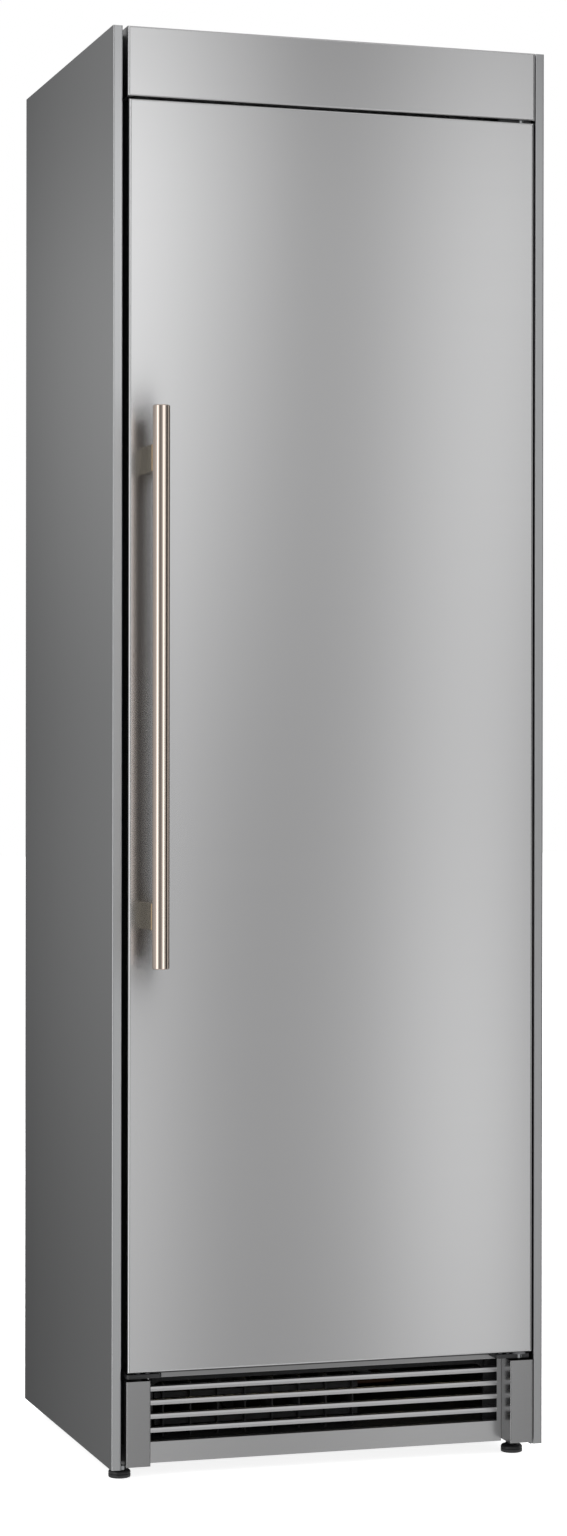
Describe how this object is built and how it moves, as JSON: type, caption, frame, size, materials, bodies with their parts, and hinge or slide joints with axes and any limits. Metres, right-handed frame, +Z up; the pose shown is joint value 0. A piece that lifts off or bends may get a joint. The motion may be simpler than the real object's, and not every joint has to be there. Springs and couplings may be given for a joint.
{
  "type": "upright freezer",
  "caption": "Tall single-door upright freezer column: steel cabinet, stainless door with a round bar handle, plain top panel and a louvred toe grille.",
  "frame": {"origin": "on the floor, midway between the side panels and midway between the handle front and the cabinet back", "axes": "+Z up, +X to the right of someone facing the door, the door and handle towards -Y"},
  "size_m": [0.675, 0.6636, 2.134],
  "materials": {
    "stainless": "satin",
    "handle_metal": "polished",
    "side_steel": "satin",
    "galvanised": "satin",
    "black_steel": "satin",
    "white_liner": "gloss",
    "foam": "matte",
    "glass": "polished",
    "clear_plastic": "gloss",
    "grey_plastic": "satin",
    "black_plastic": "matte",
    "black_rubber": "matte",
    "seal": "matte",
    "aluminium": "satin",
    "copper": "satin",
    "pin_steel": "satin"
  },
  "bodies": {
    "cabinet": {"left_side_panel": "side_steel", "right_side_panel": "side_steel", "back_panel": "galvanised", "top_cover": "galvanised", "base_frame": "galvanised", "face_frame": "black_steel", "cabinet_insulation": "foam", "cabinet_liner": "white_liner", "top_fascia": "stainless", "left_pillar_cover": "stainless", "right_pillar_cover": "stainless", "toe_grille": "stainless", "top_hinge_bracket": "black_steel", "bottom_hinge_bracket": "black_steel", "left_corner_bracket": "black_steel", "hinge_pins": "pin_steel", "evaporator_cover": "white_liner", "evaporator": "aluminium", "evaporator_fan_motor": "black_plastic", "left_runner_panel": "white_liner", "right_runner_panel": "white_liner", "control_housing": "grey_plastic", "lamp_lens": "clear_plastic", "compressor": "black_steel", "compressor_mounts": "black_rubber", "condenser": "aluminium", "condenser_fan_motor": "black_plastic", "drip_pan": "black_plastic", "refrigerant_lines": "copper", "rear_service_cover": "galvanised", "power_inlet": "black_plastic", "electronics_box": "grey_plastic", "shelf_1": "glass", "shelf_2": "glass", "shelf_3": "glass"},
    "door": {"door_skin": "stainless", "door_liner": "white_liner", "door_insulation": "foam", "door_bottom_cap": "black_plastic", "door_top_cap": "black_plastic", "door_gasket": "seal", "handle_bar": "handle_metal", "upper_standoff": "handle_metal", "lower_standoff": "handle_metal", "hinge_bushes": "grey_plastic", "door_bin_1": "clear_plastic", "door_bin_2": "clear_plastic", "door_bin_3": "clear_plastic"},
    "drawer_1": {"drawer_1": "clear_plastic"},
    "drawer_2": {"drawer_2": "clear_plastic"},
    "drawer_3": {"drawer_3": "clear_plastic"},
    "evaporator_fan": {"evaporator_fan": "grey_plastic"},
    "condenser_fan": {"condenser_fan": "black_plastic"},
    "key_warmer": {"key_warmer": "grey_plastic"},
    "key_colder": {"key_colder": "grey_plastic"},
    "key_light": {"key_light": "grey_plastic"},
    "front_left_foot": {"front_left_foot": "black_plastic"},
    "front_right_foot": {"front_right_foot": "black_plastic"},
    "rear_left_roller": {"rear_left_roller": "black_plastic"},
    "rear_right_roller": {"rear_right_roller": "black_plastic"}
  },
  "joints": [
    {"name": "door_hinge", "type": "hinge", "parent": "cabinet", "child": "door", "pos_m": [0.2989, -0.24215, 0.165], "axis": [0, 0, 1], "range_deg": [0, 115]},
    {"name": "drawer_1_slide", "type": "slide", "parent": "cabinet", "child": "drawer_1", "axis": [0, -1, 0], "range_m": [0, 0.19]},
    {"name": "drawer_2_slide", "type": "slide", "parent": "cabinet", "child": "drawer_2", "axis": [0, -1, 0], "range_m": [0, 0.19]},
    {"name": "drawer_3_slide", "type": "slide", "parent": "cabinet", "child": "drawer_3", "axis": [0, -1, 0], "range_m": [0, 0.19]},
    {"name": "evaporator_fan_spin", "type": "hinge", "parent": "cabinet", "child": "evaporator_fan", "pos_m": [0, 0.18185, 0.965], "axis": [0, 1, 0], "continuous": true},
    {"name": "condenser_fan_spin", "type": "hinge", "parent": "cabinet", "child": "condenser_fan", "pos_m": [-0.09, -0.07915, 0.0955], "axis": [0, 1, 0], "continuous": true},
    {"name": "key_warmer_press", "type": "slide", "parent": "cabinet", "child": "key_warmer", "axis": [0, 1, 0], "range_m": [0, 0.001], "stiffness_N_per_m": 300},
    {"name": "key_colder_press", "type": "slide", "parent": "cabinet", "child": "key_colder", "axis": [0, 1, 0], "range_m": [0, 0.001], "stiffness_N_per_m": 300},
    {"name": "key_light_press", "type": "slide", "parent": "cabinet", "child": "key_light", "axis": [0, 1, 0], "range_m": [0, 0.001], "stiffness_N_per_m": 300},
    {"name": "front_left_foot_screw", "type": "slide", "parent": "cabinet", "child": "front_left_foot", "axis": [0, 0, -1], "range_m": [-0.0075, 0.012]},
    {"name": "front_right_foot_screw", "type": "slide", "parent": "cabinet", "child": "front_right_foot", "axis": [0, 0, -1], "range_m": [-0.0075, 0.012]},
    {"name": "rear_left_roller_spin", "type": "hinge", "parent": "cabinet", "child": "rear_left_roller", "pos_m": [-0.2915, 0.27685, 0.018], "axis": [1, 0, 0], "continuous": true},
    {"name": "rear_right_roller_spin", "type": "hinge", "parent": "cabinet", "child": "rear_right_roller", "pos_m": [0.2915, 0.27685, 0.018], "axis": [1, 0, 0], "continuous": true}
  ],
  "couplings": [
    {"joint": "drawer_1_slide", "follows": "door_hinge", "m_per_rad": 0.094568},
    {"joint": "drawer_2_slide", "follows": "door_hinge", "m_per_rad": 0.094568},
    {"joint": "drawer_3_slide", "follows": "door_hinge", "m_per_rad": 0.094568}
  ]
}
